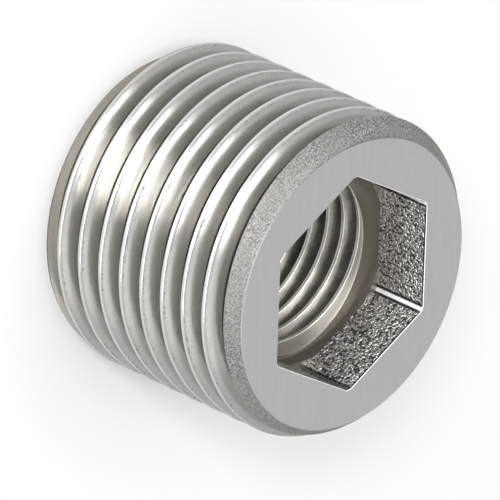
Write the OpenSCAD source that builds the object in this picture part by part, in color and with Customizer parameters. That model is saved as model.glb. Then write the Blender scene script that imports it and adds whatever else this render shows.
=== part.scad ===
// Reducing bushing with a hexagon socket: a short steel plug, threaded outside over its
// whole length, with a smaller thread through its middle. It stands on its back end,
// with the socket facing up. All sizes are in millimetres.

/* [Body] */
// Length over the two end faces
body_len = 16.7; // [12:0.1:30]
// Width of the front chamfer, measured along the radius
front_chamfer_w = 1.05; // [0.2:0.05:2]
// Length of the front chamfer, measured along the axis
front_chamfer_len = 1.25; // [0.2:0.05:2.5]
// Width of the back chamfer, measured along the radius
back_chamfer_w = 0.6; // [0.2:0.05:2]
// Length of the back chamfer, measured along the axis
back_chamfer_len = 1.2; // [0.2:0.05:2.5]

/* [Outside thread] */
// Major diameter: 1/2 inch parallel pipe thread
outside_d = 20.955; // [18:0.005:27]
// Pitch: 14 threads an inch
outside_pitch = 1.814; // [1.2:0.001:2.4]
// Angle round the axis at which a crest meets the front face
outside_start = 72; // [0:1:359]

/* [Inside thread] */
// Major diameter: 1/4 inch parallel pipe thread
inside_d = 13.157; // [8:0.001:14]
// Pitch: 19 threads an inch
inside_pitch = 1.337; // [0.8:0.001:1.6]
// Angle round the axis at which a crest meets the back face
inside_start = 153; // [0:1:359]
// Length of the plain relief ring between the thread and the socket
relief_len = 1.1; // [0.6:0.1:2]
// How far the relief ring is cut behind the thread's major diameter, on the radius
relief_over = 0.05; // [0.02:0.01:0.3]
// Width of the lead-in chamfer at the back, outside the thread's major diameter
lead_in = 0.15; // [0.05:0.05:0.5]

/* [Socket] */
// Distance across the flats of the hexagon
key_w = 12.5; // [8:0.1:14]
// Depth of the hexagon
socket_depth = 4; // [2:0.1:6]
// Width of the narrow facet across each corner of the hexagon
key_corner_w = 0.35; // [0.1:0.05:1.5]

/* [Hidden] */
$fn = 96;

// The 55 degree pipe thread form: flank angle, depth and rounding as shares of the pitch
flank = 27.5;
form_depth = 0.640327;
form_round = 0.137329;
// Half the flat land that is left on a rounded crest, as a share of the pitch
land = 0.065;
// Flat sides in one turn of each thread
outside_sides = 40;
inside_sides = 32;
// How far cutting shapes reach past the face that they open
past = 1;

outside_r = outside_d / 2;
inside_r = inside_d / 2;
inside_crest_r = inside_r - form_depth * inside_pitch;
relief_r = inside_r + relief_over;
relief_top = body_len - socket_depth;
relief_bottom = relief_top - relief_len;
lead_in_r = inside_r + lead_in;

// One pitch of the form as [along the axis, radius], from a point on the major diameter.
// The side that has a land runs to a sharp ridge, so that a true cylinder trims the land.
function thread_form(pitch, major_r, land_outside) =
    let (depth = form_depth * pitch,
         run = form_round * pitch * cos(flank),
         rise = form_round * pitch * (1 - sin(flank)),
         ridge = rise * land * pitch / (run - land * pitch),
         top = major_r + (land_outside ? ridge : 0),
         floor_r = major_r - depth - (land_outside ? 0 : ridge))
    [[0, top],
     [run, major_r - rise],
     [pitch / 2 - run, major_r - depth + rise],
     [pitch / 2, floor_r],
     [pitch / 2 + run, major_r - depth + rise],
     [pitch - run, major_r - rise]];

// A right-hand screw that covers the height from low to high and a turn more at each end.
// The form's first point passes through the height given by at on the +X side.
module screw(form, pitch, low, high, at, sides) {
    k = len(form);
    first = at - pitch * ceil((at - low) / pitch + 1.5);
    turns = ceil((high - first) / pitch + 1.5);
    lines = turns * k;

    // A vertex for each side of the turn and each line of the form, up all the turns
    skin = [for (side = [0 : sides - 1]) for (line = [0 : lines])
        let (spot = form[line % k],
             turn = side / sides,
             z = first + spot[0] + pitch * (floor(line / k) + turn))
        [spot[1] * cos(360 * turn), spot[1] * sin(360 * turn), z]];
    low_end = len(skin);
    high_end = low_end + 1;
    axis_ends = [[0, 0, first + pitch / 2], [0, 0, first + pitch * (turns + 0.5)]];

    // After the last side a line goes on as the line one turn higher
    function vertex(side, line) =
        side == sides ? line + k : side * (lines + 1) + line;
    walls = [for (side = [0 : sides - 1]) for (line = [0 : lines - 1])
        if (side < sides - 1 || line + k < lines)
            each [[vertex(side, line), vertex(side + 1, line + 1), vertex(side + 1, line)],
                  [vertex(side, line), vertex(side, line + 1), vertex(side + 1, line + 1)]]];

    // Each end is closed by a fan from the axis round the open edge of the skin
    low_rim = concat([for (side = [0 : sides - 1]) vertex(side, 0)],
                     [for (line = [k : -1 : 1]) vertex(0, line)]);
    high_rim = concat([for (side = [0 : sides - 2]) vertex(side, lines)],
                      [for (line = [lines : -1 : lines - k]) vertex(sides - 1, line)]);
    low_fan = [for (i = [0 : len(low_rim) - 1])
        [low_rim[i], low_rim[(i + 1) % len(low_rim)], low_end]];
    high_fan = [for (i = [0 : len(high_rim) - 1])
        [high_rim[(i + 1) % len(high_rim)], high_rim[i], high_end]];
    polyhedron(concat(skin, axis_ends), concat(walls, low_fan, high_fan));
}

// The turned blank: a cylinder on the major diameter, chamfered at both ends
module blank() {
    rotate_extrude()
        polygon([[0, 0],
                 [outside_r - back_chamfer_w, 0],
                 [outside_r, back_chamfer_len],
                 [outside_r, body_len - front_chamfer_len],
                 [outside_r - front_chamfer_w, body_len],
                 [0, body_len]]);
}

module outside_thread() {
    crest_height = body_len - outside_pitch * outside_start / 360;
    screw(thread_form(outside_pitch, outside_r, true), outside_pitch,
          0, body_len, crest_height, outside_sides);
}

// The tapped hole: a bore on the crests, the grooves round it, and a lead-in at the back
module tapped_hole() {
    translate([0, 0, -past])
        cylinder(r = inside_crest_r, h = body_len + 2 * past);
    intersection() {
        translate([0, 0, -past])
            cylinder(r = inside_r + past, h = relief_bottom + relief_len / 2 + past);
        screw(thread_form(inside_pitch, inside_r, false), inside_pitch,
              0, relief_bottom, -inside_pitch * inside_start / 360, inside_sides);
    }
    translate([0, 0, -past])
        cylinder(r1 = lead_in_r + past, r2 = 0, h = lead_in_r + past);
}

// The hexagon, with a narrow facet in place of each sharp corner
module hexagon() {
    facet_r = (key_w / cos(30) - key_corner_w * tan(30)) / 2;
    polygon([for (corner = [0 : 60 : 300]) for (side = [-1, 1])
        let (across = side * key_corner_w / 2)
        [facet_r * cos(corner) - across * sin(corner),
         facet_r * sin(corner) + across * cos(corner)]]);
}

// The relief ring that the tap runs out into, and the hexagon for the key above it
module key_socket() {
    translate([0, 0, relief_bottom])
        cylinder(r = relief_r, h = relief_len);
    translate([0, 0, relief_top])
        linear_extrude(socket_depth + past)
            hexagon();
}

module bushing() {
    color("silver")
        difference() {
            intersection() {
                blank();
                outside_thread();
            }
            tapped_hole();
            key_socket();
        }
}

bushing();
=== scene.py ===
import math

import bmesh
import bpy
from mathutils import Matrix, Vector, noise


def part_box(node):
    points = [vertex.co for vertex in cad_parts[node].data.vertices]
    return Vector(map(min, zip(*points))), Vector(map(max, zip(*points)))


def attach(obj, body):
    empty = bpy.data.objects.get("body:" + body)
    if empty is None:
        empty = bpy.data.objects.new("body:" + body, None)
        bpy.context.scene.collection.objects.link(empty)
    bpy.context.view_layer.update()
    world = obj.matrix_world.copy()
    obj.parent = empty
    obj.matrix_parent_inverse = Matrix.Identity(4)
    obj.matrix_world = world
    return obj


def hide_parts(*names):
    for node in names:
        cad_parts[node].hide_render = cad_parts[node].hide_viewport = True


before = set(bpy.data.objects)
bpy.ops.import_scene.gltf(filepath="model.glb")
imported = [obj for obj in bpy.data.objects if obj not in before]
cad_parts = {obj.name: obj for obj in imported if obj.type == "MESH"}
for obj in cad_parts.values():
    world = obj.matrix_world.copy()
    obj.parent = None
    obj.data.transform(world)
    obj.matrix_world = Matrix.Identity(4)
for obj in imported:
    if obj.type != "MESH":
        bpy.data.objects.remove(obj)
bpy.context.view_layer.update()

MM = 0.001

# The camera
# The photograph looks down on the socket face from about two thirds of a metre, turned so
# that the bushing's axis runs to the lower right of the picture.
body_low, body_high = (Vector(corner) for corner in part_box("bushing"))
body_len = body_high.z - body_low.z
outside_r = (body_high.x - body_low.x) / 2

PICTURE_PX = 500
FOCAL_PX = 11198
SENSOR = 36
camera_place = Vector((240.55, -468.08, 434.11)) * MM + Vector((0, 0, body_len))
picture_right = Vector((-0.6361, 0.3323, 0.6964))
picture_down = Vector((0.6882, 0.6524, 0.3173))

camera = bpy.data.objects.new("camera", bpy.data.cameras.new("camera"))
bpy.context.scene.collection.objects.link(camera)
camera.data.sensor_width = SENSOR
camera.data.lens = SENSOR * FOCAL_PX / PICTURE_PX
camera.data.clip_start = 0.01
picture_up = -picture_down
towards_camera = picture_right.cross(picture_up)
camera.matrix_world = Matrix.Translation(camera_place) @ Matrix(
    (picture_right, picture_up, towards_camera)).transposed().to_4x4()
bpy.context.scene.camera = camera

# The turned blank
# The bushing is one casting of stainless steel. A lathe gives it its two end faces and the
# chamfer round each. The front face is satin, and the other cuts are coarse and glitter.
FRONT_CHAMFER = (1.05 * MM, 1.25 * MM)  # its width along the radius, its length along the axis
BACK_CHAMFER = (0.6 * MM, 1.2 * MM)
EDGE_BREAK = 0.03 * MM
BRUSHED_ALONG = math.radians(62.4)  # the direction of the brushing, from +X
OVERCUT = 0.2 * MM
SIDES = 160
SAME_SPOT = 0.0005 * MM


class Value:
    """A shader socket. Arithmetic on it adds Math nodes to the tree that it belongs to."""

    def __init__(self, finish, socket):
        self.finish = finish
        self.socket = socket

    def _maths(self, operation, first, second):
        return self.finish.node("ShaderNodeMath", {"operation": operation}, [first, second])

    def __add__(self, other):
        return self._maths("ADD", self, other)

    def __radd__(self, other):
        return self._maths("ADD", other, self)

    def __sub__(self, other):
        return self._maths("SUBTRACT", self, other)

    def __rsub__(self, other):
        return self._maths("SUBTRACT", other, self)

    def __mul__(self, other):
        return self._maths("MULTIPLY", self, other)

    def __rmul__(self, other):
        return self._maths("MULTIPLY", other, self)


class Finish:
    """The shader nodes of a steel finish, of the floor or of the studio's sky."""

    def __init__(self, owner, shader):
        owner.use_nodes = True
        self.owner = owner
        self.tree = owner.node_tree
        self.shader = self.tree.nodes[shader]

    def node(self, kind, settings, inputs, output=0):
        made = self.tree.nodes.new(kind)
        for name, setting in settings.items():
            setattr(made, name, setting)
        named = inputs.items() if isinstance(inputs, dict) else enumerate(inputs)
        for name, value in named:
            self.feed(made.inputs[name], value)
        return Value(self, made.outputs[output])

    def feed(self, socket, value):
        if isinstance(value, Value):
            self.tree.links.new(value.socket, socket)
        else:
            socket.default_value = value

    def set(self, **sockets):
        for name, value in sockets.items():
            self.feed(self.shader.inputs[name.replace("_", " ")], value)

    def place(self):
        """The point on the piece, in millimetres."""
        place = self.node("ShaderNodeTexCoord", {}, [], output="Object")
        return self.node("ShaderNodeVectorMath", {"operation": "SCALE"}, {0: place, "Scale": 1000})

    def radius(self, place):
        """The distance from the bushing's axis, in millimetres."""
        flat = self.node("ShaderNodeVectorMath", {"operation": "MULTIPLY"}, [place, (1, 1, 0)])
        return self.node("ShaderNodeVectorMath", {"operation": "LENGTH"}, [flat], output="Value")

    def along(self, axis, place):
        return self.node("ShaderNodeSeparateXYZ", {}, [place], output=axis)

    def height(self, place):
        return self.along("Z", place)

    def grain(self, place, across, along, detail=2.0, rough=0.5):
        """Noise from 0 to 1, with so many grains in a millimetre across the axis and along it."""
        stretched = self.node("ShaderNodeVectorMath", {"operation": "MULTIPLY"},
                              [place, (across, across, along)])
        return self.node("ShaderNodeTexNoise", {},
                         {"Vector": stretched, "Scale": 1, "Detail": detail, "Roughness": rough})

    def step(self, value, low, high):
        """0 below low, 1 above high and smooth in between; the other way round if high is less."""
        return self.node("ShaderNodeMapRange", {"interpolation_type": "SMOOTHSTEP"},
                         [value, low, high, 0, 1])

    def mix(self, amount, first, second):
        return self.node("ShaderNodeMix", {"data_type": "RGBA"}, {0: amount, 6: first, 7: second},
                         output=2)

    def bump(self, height, depth):
        """A normal from a relief of so many millimetres for a height of 1."""
        return self.node("ShaderNodeBump", {}, {"Strength": 1, "Distance": depth * MM,
                                                "Height": height})


def steel(name):
    finish = Finish(bpy.data.materials.new(name), "Principled BSDF")
    finish.set(Metallic=1.0)
    return finish


def coarse_cut(finish, place):
    """The colour and the relief of a coarse cut: a fine grain that glitters in patches."""
    sparkle = finish.grain(place, 9, 9, detail=1, rough=0.6)
    patches = finish.step(finish.grain(place, 0.35, 0.35, detail=1), 0.4, 0.65)
    colour = finish.mix(finish.step(sparkle, 0.35, 0.65), (0.2, 0.195, 0.19, 1),
                        (0.54, 0.53, 0.51, 1))
    colour = finish.mix(0.5 + patches * 0.5, (0.37, 0.36, 0.34, 1), colour)
    return colour, sparkle * (1.5 + patches * 3)


def turned_steel():
    """Satin with a faint brushing on the front face, and a coarse cut everywhere below it."""
    finish = steel("turned_steel")
    place = finish.place()
    aligned = finish.node("ShaderNodeVectorRotate", {"rotation_type": "Z_AXIS"},
                          {"Vector": place, "Angle": -BRUSHED_ALONG})
    drawn_out = finish.node("ShaderNodeVectorMath", {"operation": "MULTIPLY"},
                            [aligned, (0.25, 3, 1)])
    brushing = finish.node("ShaderNodeTexNoise", {}, {"Vector": drawn_out, "Scale": 1, "Detail": 3})
    mottle = finish.grain(place, 1.2, 1.2, detail=3)
    face = body_len / MM
    coarse = finish.step(finish.height(place), face - 0.02, face - 0.05)
    satin = finish.mix(brushing * 0.6 + mottle * 0.4, (0.5, 0.495, 0.485, 1),
                       (0.59, 0.585, 0.575, 1))
    grainy, grain_relief = coarse_cut(finish, place)
    relief = brushing * 0.1 + coarse * grain_relief
    finish.set(Base_Color=finish.mix(coarse, satin, grainy), Roughness=0.55 + coarse * 0.05,
               Specular_Tint=(0.3, 0.3, 0.3, 1), Normal=finish.bump(relief, 0.01))
    return finish.owner


def solid(name, bm, *materials):
    """An object from a closed bmesh, with its faces turned outwards."""
    bmesh.ops.recalc_face_normals(bm, faces=bm.faces)
    mesh = bpy.data.meshes.new(name)
    bm.to_mesh(mesh)
    bm.free()
    for material in materials:
        mesh.materials.append(material)
    made = bpy.data.objects.new(name, mesh)
    bpy.context.scene.collection.objects.link(made)
    return made


def lathe(name, outline, material, sides=SIDES):
    """A closed solid of revolution from its outline as (radius, height), axis to axis."""
    bm = bmesh.new()
    spots = [bm.verts.new((radius, 0, height)) for radius, height in outline]
    lines = [bm.edges.new(pair) for pair in zip(spots, spots[1:])]
    bmesh.ops.spin(bm, geom=spots + lines, cent=(0, 0, 0), axis=(0, 0, 1), dvec=(0, 0, 0),
                   angle=2 * math.pi, steps=sides, use_merge=True, use_duplicate=False)
    bmesh.ops.remove_doubles(bm, verts=bm.verts, dist=SAME_SPOT)
    return solid(name, bm, material)


def cone_len(chamfer):
    """The length of a chamfer's cone that goes on past the crests, so that it trims them."""
    wide, long = chamfer
    return long + OVERCUT * long / wide


turned = turned_steel()
slope = math.atan2(FRONT_CHAMFER[1], FRONT_CHAMFER[0])
front_rim = outside_r - FRONT_CHAMFER[0]
bushing = lathe("bushing_body", [
    (0, 0),
    (outside_r - BACK_CHAMFER[0], 0),
    (outside_r + OVERCUT, cone_len(BACK_CHAMFER)),
    (outside_r + OVERCUT, body_len - cone_len(FRONT_CHAMFER)),
    (front_rim + EDGE_BREAK * math.cos(slope), body_len - EDGE_BREAK * math.sin(slope)),
    (front_rim - EDGE_BREAK, body_len),
    (0, body_len)], turned)

# The outside thread
# A 55 degree parallel pipe thread, cut on the lathe from end to end and out into both
# chamfers. Its crests are lighter, partly polish and partly a painted highlight, and painted
# shade darkens its flanks towards a near-black painted shadow in the roots.
OUTSIDE_PITCH = 1.814 * MM
OUTSIDE_START = math.radians(72)  # where round the axis a crest comes up to the front face
FLANK = math.radians(27.5)
FORM_DEPTH = 0.640327  # the thread's depth as a share of the pitch
HALF_CREST = 0.083332  # half the width of a crest before it is rounded, as a share of the pitch
ROUND_STEPS = 5


def thread_steel():
    """Streaked, pitted steel; crests lighter (polish and painted highlight), painted shade in the
    roots, a coarse cut by the face.
    """
    finish = steel("thread_steel")
    place = finish.place()
    height = finish.height(place)
    depth = outside_r / MM - finish.radius(place)  # below the crests, in millimetres
    streaks = finish.grain(place, 0.3, 8, detail=3, rough=0.6)
    cloud = finish.grain(place, 0.9, 1.4, detail=3, rough=0.6)
    speckle = finish.grain(place, 6, 14, detail=2, rough=0.6)
    by_face = finish.step(height, body_len / MM - 1, body_len / MM - 0.8)
    grainy, grain_relief = coarse_cut(finish, place)
    # Painted highlight, partly polish: the crests are lighter than the flanks
    crest_polish_and_highlight = finish.step(depth, 0.12, 0.04)
    # Painted shade: the flanks darken from 0.28 to 0.6 mm below the crests, towards the roots
    painted_flank_shade = finish.step(depth, 0.28, 0.6)
    # Painted shadow: the bottom of each root, below 0.98 mm, is near black
    painted_root_shadow = finish.step(depth, 0.98, 1.06)
    back_end = finish.step(height, 1.5, 1.1)
    shoulder = finish.step(depth, 0.03, 0.08) * finish.step(depth, 0.2, 0.12)
    worn = finish.step(finish.grain(place, 0.4, 0.8, detail=1), 0.4, 0.6)
    pits = finish.step(speckle + shoulder * worn * 0.18, 0.7, 0.76)
    colour = finish.mix(finish.step(cloud, 0.35, 0.65), (0.52, 0.515, 0.5, 1),
                        (0.57, 0.55, 0.52, 1))
    colour = finish.mix(crest_polish_and_highlight, colour, (0.7, 0.69, 0.67, 1))
    colour = finish.mix(painted_flank_shade * (0.6 + cloud * 0.6), colour, (0.37, 0.357, 0.335, 1))
    colour = finish.mix(back_end, colour, (0.58, 0.56, 0.52, 1))
    colour = finish.mix(painted_root_shadow * 0.97, colour, (0.04, 0.037, 0.032, 1))
    colour = finish.mix(pits * 0.5, colour, (0.08, 0.075, 0.07, 1))
    colour = finish.mix(by_face, colour, grainy)
    relief = streaks * 0.8 + speckle * 0.2 - pits * 0.4
    relief = relief * (1 - by_face) + grain_relief * by_face
    finish.set(Base_Color=colour, Roughness=0.12 + streaks * 0.16 + by_face * 0.38,
               Specular_Tint=(0.4, 0.4, 0.4, 1), Normal=finish.bump(relief, 0.01))
    return finish.owner


def half_form(pitch, land):
    """Half a crest as (depth, height) from its middle: a flat land, if any, and its rounding."""
    turn = math.pi / 2 - FLANK
    round_r = (HALF_CREST - land) * pitch / math.tan(turn / 2)
    angles = [turn * step / ROUND_STEPS for step in range(ROUND_STEPS + 1)]
    flat = [(0, 0)] if land else []
    return flat + [(round_r * (1 - math.cos(angle)), land * pitch + round_r * math.sin(angle))
                   for angle in angles]


def thread_form(pitch, major_r, crest_land, root_land):
    """One pitch of the 55 degree pipe thread as (radius, height), from crest to crest."""
    floor_r = major_r - FORM_DEPTH * pitch
    crest = [(major_r - down, height) for down, height in half_form(pitch, crest_land)]
    root = [(floor_r + up, pitch / 2 - height) for up, height in half_form(pitch, root_land)]
    rising = crest + root[::-1]
    falling = [(radius, pitch - height) for radius, height in rising[-2::-1]]
    return rising + falling


def screw(name, form, pitch, low, high, crest_at, material, sides=SIDES):
    """A closed right-hand screw from below low to above high, with a crest at crest_at on +X."""
    # Its ends rise by a whole pitch round the axis, so it starts more than a pitch below low
    first = crest_at - pitch * math.ceil((crest_at - low) / pitch + 1.2)
    turns = math.ceil((high - first) / pitch + 0.2)
    bm = bmesh.new()
    spots = [bm.verts.new((radius, 0, first + height)) for radius, height in form]
    lines = [bm.edges.new(pair) for pair in zip(spots, spots[1:])]
    bmesh.ops.spin(bm, geom=spots + lines, cent=(0, 0, 0), axis=(0, 0, 1),
                   dvec=(0, 0, pitch / sides), angle=2 * math.pi, steps=sides,
                   use_merge=False, use_duplicate=False)
    one_turn = bm.verts[:] + bm.edges[:] + bm.faces[:]
    for turn in range(1, turns):
        copy = bmesh.ops.duplicate(bm, geom=one_turn)["geom"]
        moved = [part for part in copy if isinstance(part, bmesh.types.BMVert)]
        bmesh.ops.translate(bm, verts=moved, vec=(0, 0, pitch * turn))
    bmesh.ops.remove_doubles(bm, verts=bm.verts, dist=SAME_SPOT)
    # Each end is closed by a fan of faces from its rim to a point on the axis
    for end in (first, first + pitch * (turns + 1)):
        rim = [edge for edge in bm.edges if edge.is_boundary
               and abs(sum(vert.co.z for vert in edge.verts) / 2 - end) < 1.5 * pitch]
        spread = bmesh.ops.extrude_edge_only(bm, edges=rim)["geom"]
        hub = [part for part in spread if isinstance(part, bmesh.types.BMVert)]
        bmesh.ops.pointmerge(bm, verts=hub, merge_co=(0, 0, end))
    return solid(name, bm, material)


def machine(body, tool, operation):
    """Cuts the body with a tool, or keeps what lies in both; each leaves its own finish."""
    change = body.modifiers.new(tool.name, "BOOLEAN")
    change.operation = operation
    change.object = tool
    change.solver = "MANIFOLD"
    change.material_mode = "TRANSFER"
    bpy.context.view_layer.objects.active = body
    bpy.ops.object.modifier_apply(modifier=change.name)
    bpy.data.objects.remove(tool)


outside_form = thread_form(OUTSIDE_PITCH, outside_r, 0, 0)
outside_thread = screw("outside_thread", outside_form, OUTSIDE_PITCH, 0, body_len,
                       body_len - OUTSIDE_PITCH * OUTSIDE_START / (2 * math.pi), thread_steel())
machine(bushing, outside_thread, "INTERSECT")

# The inside thread
# The smaller pipe thread, tapped from the back end, with a lead-in cone at its mouth and a
# plain relief ring where the tap runs out below the socket. It is browner than the outside.
INSIDE_MAJOR_R = 13.157 / 2 * MM
INSIDE_PITCH = 1.337 * MM
INSIDE_START = math.radians(153)  # where round the axis a root starts at the back face
INSIDE_LAND = 0.07  # half the flat of a crest, as a share of the pitch
INSIDE_SIDES = 128
RELIEF_R = INSIDE_MAJOR_R + 0.05 * MM
RELIEF_LEN = 1.1 * MM
LEAD_IN_R = INSIDE_MAJOR_R + 0.15 * MM
SOCKET_DEPTH = 4 * MM
PAST_BACK = 1 * MM
relief_top = body_len - SOCKET_DEPTH
relief_bottom = relief_top - RELIEF_LEN


def bore_steel():
    """Brownish steel; crests lighter (polish and painted highlight), painted shade in roots and
    below the ring.
    """
    finish = steel("bore_steel")
    place = finish.place()
    height = finish.height(place)
    radius = finish.radius(place)
    streaks = finish.grain(place, 0.4, 7, detail=3, rough=0.6)
    cloud = finish.grain(place, 1, 1.5, detail=3, rough=0.6)
    root_r = INSIDE_MAJOR_R / MM
    # Painted shadow: the roots are near black, except in the relief ring
    root = finish.step(radius, root_r - 0.1, root_r - 0.03)
    crest_r = (INSIDE_MAJOR_R - FORM_DEPTH * INSIDE_PITCH) / MM
    # Painted highlight, partly polish: the crests are much lighter and a little smoother
    crest_polish_and_highlight = finish.step(radius, crest_r + 0.06, crest_r + 0.02)
    ring = relief_bottom / MM
    in_ring = finish.step(height, ring - 0.1, ring)
    # Painted shade: darker from 0.9 mm below the relief ring up to it
    painted_ring_shade = finish.step(height, ring - 0.9, ring - 0.5)
    colour = finish.mix(finish.step(cloud, 0.35, 0.65), (0.31, 0.29, 0.255, 1),
                        (0.46, 0.43, 0.38, 1))
    colour = finish.mix(painted_ring_shade, colour, (0.22, 0.205, 0.18, 1))
    colour = finish.mix(in_ring, colour, (0.36, 0.335, 0.295, 1))
    colour = finish.mix(crest_polish_and_highlight, colour, (0.9, 0.88, 0.85, 1))
    colour = finish.mix(root * (1 - in_ring) * 0.97, colour, (0.02, 0.018, 0.015, 1))
    finish.set(Base_Color=colour, Metallic=0.85, Roughness=0.2 + streaks * 0.2 - crest_polish_and_highlight * 0.05,
               Normal=finish.bump(streaks, 0.02))
    return finish.owner


bored = bore_steel()
inside_form = thread_form(INSIDE_PITCH, INSIDE_MAJOR_R, 0, INSIDE_LAND)
tap = screw("tap", inside_form, INSIDE_PITCH, 0, relief_top,
            -INSIDE_PITCH * INSIDE_START / (2 * math.pi), bored, sides=INSIDE_SIDES)
tap_travel = lathe("tap_travel", [(0, -PAST_BACK), (2 * RELIEF_R, -PAST_BACK),
                                  (2 * RELIEF_R, relief_bottom + RELIEF_LEN / 2),
                                  (0, relief_bottom + RELIEF_LEN / 2)], bored)
machine(tap, tap_travel, "INTERSECT")
machine(bushing, tap, "DIFFERENCE")
relief = lathe("relief", [(0, relief_bottom), (RELIEF_R, relief_bottom), (RELIEF_R, relief_top),
                          (0, relief_top)], bored, sides=INSIDE_SIDES)
machine(bushing, relief, "DIFFERENCE")
lead_in = lathe("lead_in", [(0, -PAST_BACK), (LEAD_IN_R + PAST_BACK, -PAST_BACK), (0, LEAD_IN_R)],
                turned, sides=INSIDE_SIDES)
machine(bushing, lead_in, "DIFFERENCE")

# The hexagon socket
# The pocket for a hexagon key, left as it came from the mould: six coarse flats with a
# smooth narrow stripe across each corner, and a mouth that facing the end left sharp.
KEY_W = 12.5 * MM
CORNER_W = 0.35 * MM
MOUTH_BREAK = 0.035 * MM
FLARE = 1 * MM
FLAT_CUTS = 84
DEPTH_STEPS = 47
GRAIN = 0.28 * MM
GRAIN_DEPTH = 0.04 * MM
SMOOTH_EDGE = 0.12 * MM  # how far the grain fades out towards a corner or the mouth
INTO_RING = 0.002 * MM  # the pocket's floor dips into the relief ring, so that they join
FLAT, CORNER, FLOOR = range(3)  # the places of the key's finishes in its list of them


def from_corner(finish, place):
    """The distance along a flat from the nearest corner of the hexagon, in millimetres."""
    x, y = finish.along("X", place), finish.along("Y", place)
    angle = finish.node("ShaderNodeMath", {"operation": "ARCTAN2"}, [y, x])
    angle = finish.node("ShaderNodeMath", {"operation": "PINGPONG"}, [angle, math.pi / 6])
    return finish.radius(place) * finish.node("ShaderNodeMath", {"operation": "SINE"}, [angle])


def cast_steel():
    """The mould's skin: salt and pepper grains with glints on their tops, painted shade along the
    corners and darker below the mouth.
    """
    finish = steel("cast_steel")
    place = finish.place()
    grains = finish.grain(place, 6, 6, detail=1, rough=0.5)
    salt = finish.step(grains, 0.38, 0.52)
    colour = finish.mix(salt, (0.16, 0.15, 0.14, 1), (1, 0.99, 0.97, 1))
    # Painted shade: the flats darken along each corner, and they are darker just below the mouth
    crease_shade = finish.step(from_corner(finish, place), 0.34, 0.26)
    rim = finish.step(finish.height(place), body_len / MM - 0.2, body_len / MM - 0.1)
    edges = finish.node("ShaderNodeMath", {"operation": "MAXIMUM"}, [crease_shade, rim])
    colour = finish.mix(edges * 0.9, colour, (0.03, 0.028, 0.025, 1))
    finish.set(Base_Color=colour, Roughness=0.4 - salt * 0.14, Normal=finish.bump(grains, 0.2))
    return finish.owner


def corner_steel():
    """The corner stripe, a painted highlight: pale where X is below -1, painted shade above 1,
    shade in its creases.
    """
    finish = steel("corner_steel")
    place = finish.place()
    wear = finish.grain(place, 3, 3, detail=2)
    # Painted light and shade by side: the stripes are pale where X is below -1, dark above 1
    lit_side = finish.step(finish.along("X", place), 1, -1)
    mouth = (body_len - MOUTH_BREAK) / MM
    below_mouth = finish.step(finish.height(place), mouth + 0.01, mouth)
    # Painted shade in the creases along the stripe's edges, below the mouth
    crease_shade = finish.step(from_corner(finish, place), 0.1, 0.14) * below_mouth
    # Painted highlight: the stripe and the flare over the mouth are near white
    painted_light_and_shade = finish.mix(wear, (0.85, 0.85, 0.84, 1), (1, 1, 1, 1))
    painted_light_and_shade = finish.mix(lit_side + (1 - below_mouth), (0.1, 0.095, 0.09, 1), painted_light_and_shade)
    finish.set(Base_Color=finish.mix(crease_shade * 0.95, painted_light_and_shade, (0.03, 0.028, 0.025, 1)),
               Metallic=0.15, Roughness=0.5 + wear * 0.1)
    return finish.owner


def raise_ring(bm, ring, rise, growth=0):
    """Extrudes a ring of edges upwards and returns the new ring, grown by a share of its size."""
    grown = bmesh.ops.extrude_edge_only(bm, edges=ring)["geom"]
    upper = {part for part in grown if isinstance(part, bmesh.types.BMVert)}
    bmesh.ops.translate(bm, verts=list(upper), vec=(0, 0, rise))
    bmesh.ops.scale(bm, verts=list(upper), vec=Vector((1 + growth, 1 + growth, 1)))
    return [part for part in grown if isinstance(part, bmesh.types.BMEdge)
            and all(vert in upper for vert in part.verts)]


def hexagon_key():
    """The core that leaves the pocket, with a flare over the mouth that breaks its edge."""
    bm = bmesh.new()
    facet_r = (KEY_W / math.cos(math.pi / 6) - CORNER_W * math.tan(math.pi / 6)) / 2
    spots = [bm.verts.new(Matrix.Rotation(math.pi / 3 * corner, 3, "Z")
                          @ Vector((facet_r, side * CORNER_W / 2, relief_top - INTO_RING)))
             for corner in range(6) for side in (-1, 1)]
    ring = [bm.edges.new((spots[spot - 1], spots[spot])) for spot in range(12)]
    bmesh.ops.subdivide_edges(bm, edges=ring[::2], cuts=FLAT_CUTS)
    floor_ring = ring = bm.edges[:]
    mouth = body_len - MOUTH_BREAK
    for step in range(DEPTH_STEPS):
        ring = raise_ring(bm, ring, (mouth - relief_top + INTO_RING) / DEPTH_STEPS)
    half_flat = facet_r * math.tan(math.pi / 6)
    for vert in bm.verts:
        side = math.floor(math.atan2(vert.co.y, vert.co.x) / (math.pi / 3)) + 0.5
        outwards = Vector((math.cos(side * math.pi / 3), math.sin(side * math.pi / 3), 0))
        along = vert.co - outwards * vert.co.dot(outwards)
        to_corner = half_flat - math.hypot(along.x, along.y)
        calm = min(max(min(to_corner, mouth - vert.co.z) / SMOOTH_EDGE, 0), 1)
        rise = noise.noise(vert.co / GRAIN) + 0.5 * noise.noise(vert.co / GRAIN * 2.1)
        vert.co += outwards * rise * GRAIN_DEPTH * calm
    # A corner's facet isn't cut up, so its faces are larger than those of the flats
    for face in bm.faces:
        on_corner = face.calc_area() > 1.5 * KEY_W / FLAT_CUTS * SOCKET_DEPTH / DEPTH_STEPS
        face.material_index = CORNER if on_corner else FLAT
    below = set(bm.faces)
    ring = raise_ring(bm, ring, FLARE, FLARE / (KEY_W / 2))
    for face in set(bm.faces) - below:
        face.material_index = CORNER
    bmesh.ops.edgeloop_fill(bm, edges=floor_ring, mat_nr=FLOOR)
    bmesh.ops.edgeloop_fill(bm, edges=ring)
    return solid("key", bm, cast_steel(), corner_steel(), bored)


machine(bushing, hexagon_key(), "DIFFERENCE")

bushing.data.shade_smooth()
bushing.data.set_sharp_from_angle(angle=math.radians(20))
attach(bushing, "root")
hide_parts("bushing")

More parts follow.
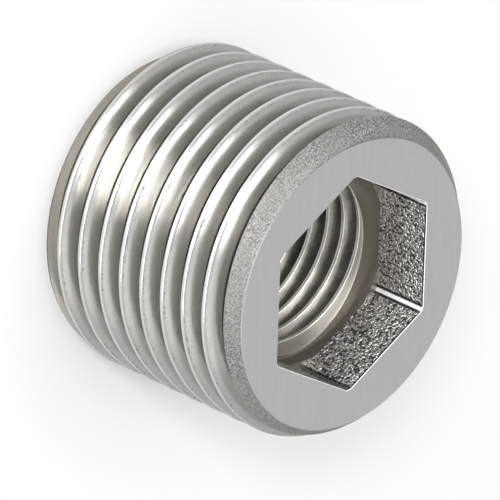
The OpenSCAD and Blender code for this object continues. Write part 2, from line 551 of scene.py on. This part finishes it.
# The floor
# A white card that the bushing stands on. It stays white behind the bushing and in its
# reflections, keeps the soft shadow round it, and fades to the grey of the walls far away.
FLOOR_SIZE = 2
FLOOR_GLOW = 0.28
FLOOR_GREY = 0.5


def background_ray(finish):
    """1 for what the camera sees, directly, in the metal or through glass, and 0 for light."""
    rays = [finish.node("ShaderNodeLightPath", {}, [], output=f"Is {ray} Ray")
            for ray in ("Camera", "Glossy", "Transmission")]
    return finish.node("ShaderNodeClamp", {}, [rays[0] + rays[1] + rays[2], 0, 1])


def white_card():
    finish = Finish(bpy.data.materials.new("white_card"), "Principled BSDF")
    finish.set(Base_Color=(FLOOR_GREY, FLOOR_GREY, FLOOR_GREY, 1), Roughness=1.0,
               Specular_IOR_Level=0.0, Emission_Color=(1, 1, 1, 1),
               Emission_Strength=background_ray(finish) * FLOOR_GLOW)
    return finish.owner


bm = bmesh.new()
bmesh.ops.create_grid(bm, x_segments=1, y_segments=1, size=FLOOR_SIZE)
solid("floor", bm, white_card())

# The studio
# Grey walls under a brighter ceiling, a soft lamp over the bushing, one in front of it and
# a long low strip. A round lamp above the camera throws the shadow, and a small spot lights
# a patch of floor outside the picture that the thread's roots mirror.
GREY_WALL = 0.72
CEILING_GLOW = 0.5
GLOW_CENTRE = Vector((0.3, 0.25, 0.92)).normalized()
GLOW_EDGE = math.radians(27)
GLOW_CORE = math.radians(12)
LAMP_DISTANCE = 0.5
SHADOW_LAMP_DISTANCE = 0.6
SHADOW_LAMP_SIZE = 0.095
ABOVE_CAMERA = math.radians(5)
KICKER_X, KICKER_Y, KICKER_HEIGHT = 11.5 * MM, -25.5 * MM, 0.35
KICKER_R = 12 * MM  # of the patch of floor that it lights

world =bpy.data.worlds.new("studio")
bpy.context.scene.world = world
sky = Finish(world, "Background")
direction = sky.node("ShaderNodeTexCoord", {}, [], output="Generated")
towards = sky.node("ShaderNodeVectorMath", {"operation": "DOT_PRODUCT"},
                   [direction, GLOW_CENTRE], output="Value")
glow = sky.step(towards, math.cos(GLOW_EDGE), math.cos(GLOW_CORE))
sky.set(Strength=GREY_WALL + glow * CEILING_GLOW, Color=(1, 1, 1, 1))

middle = Vector((0, 0, body_len / 2))


def lamp(name, place, long_axis, size, radiance, shape="RECTANGLE"):
    """A soft lamp that faces the bushing, with its longer side along long_axis."""
    light = bpy.data.lights.new(name, "AREA")
    light.shape = shape
    light.size, light.size_y = size
    light.energy = radiance * math.pi * size[0] * size[1]
    made = bpy.data.objects.new(name, light)
    bpy.context.scene.collection.objects.link(made)
    back = (place - middle).normalized()
    side = long_axis.cross(back).normalized()
    made.matrix_world = Matrix.Translation(place) @ Matrix(
        (side, back.cross(side), back)).transposed().to_4x4()
    made.visible_camera = False
    return made


def soft_box(name, start, end, wide, radiance):
    """A lamp whose middle line runs from start to end, each a direction from the origin."""
    start = Vector(start) * LAMP_DISTANCE
    end = Vector(end) * LAMP_DISTANCE
    lamp(name, (start + end) / 2, end - start, (wide, (end - start).length), radiance)


soft_box("overhead", (-0.13, -0.6, 0.8), (-0.13, 0.1, 0.99), wide=0.28, radiance=2.6)
soft_box("front_box", (0.1, -0.97, 0.2), (0.1, -0.7, 0.7), wide=0.2, radiance=1.5)
soft_box("strip", (0, -1, 0.17), (0.98, -0.1, 0.17), wide=0.05, radiance=6)
shadow_from = (towards_camera - picture_down * math.tan(ABOVE_CAMERA)).normalized()
shadow_lamp = lamp("shadow_lamp", shadow_from * SHADOW_LAMP_DISTANCE, picture_right,
                   (SHADOW_LAMP_SIZE, SHADOW_LAMP_SIZE), radiance=67, shape="DISK")
shadow_lamp.visible_glossy = False

kicker = bpy.data.objects.new("kicker", bpy.data.lights.new("kicker", "SPOT"))
bpy.context.scene.collection.objects.link(kicker)
kicker.location = (KICKER_X, KICKER_Y, KICKER_HEIGHT)
kicker.data.energy = 85
kicker.data.spot_size = 2 * math.atan(KICKER_R / KICKER_HEIGHT)
kicker.data.spot_blend = 0.7
kicker.data.shadow_soft_size = 0.002

bpy.context.scene.view_settings.view_transform = "Standard"
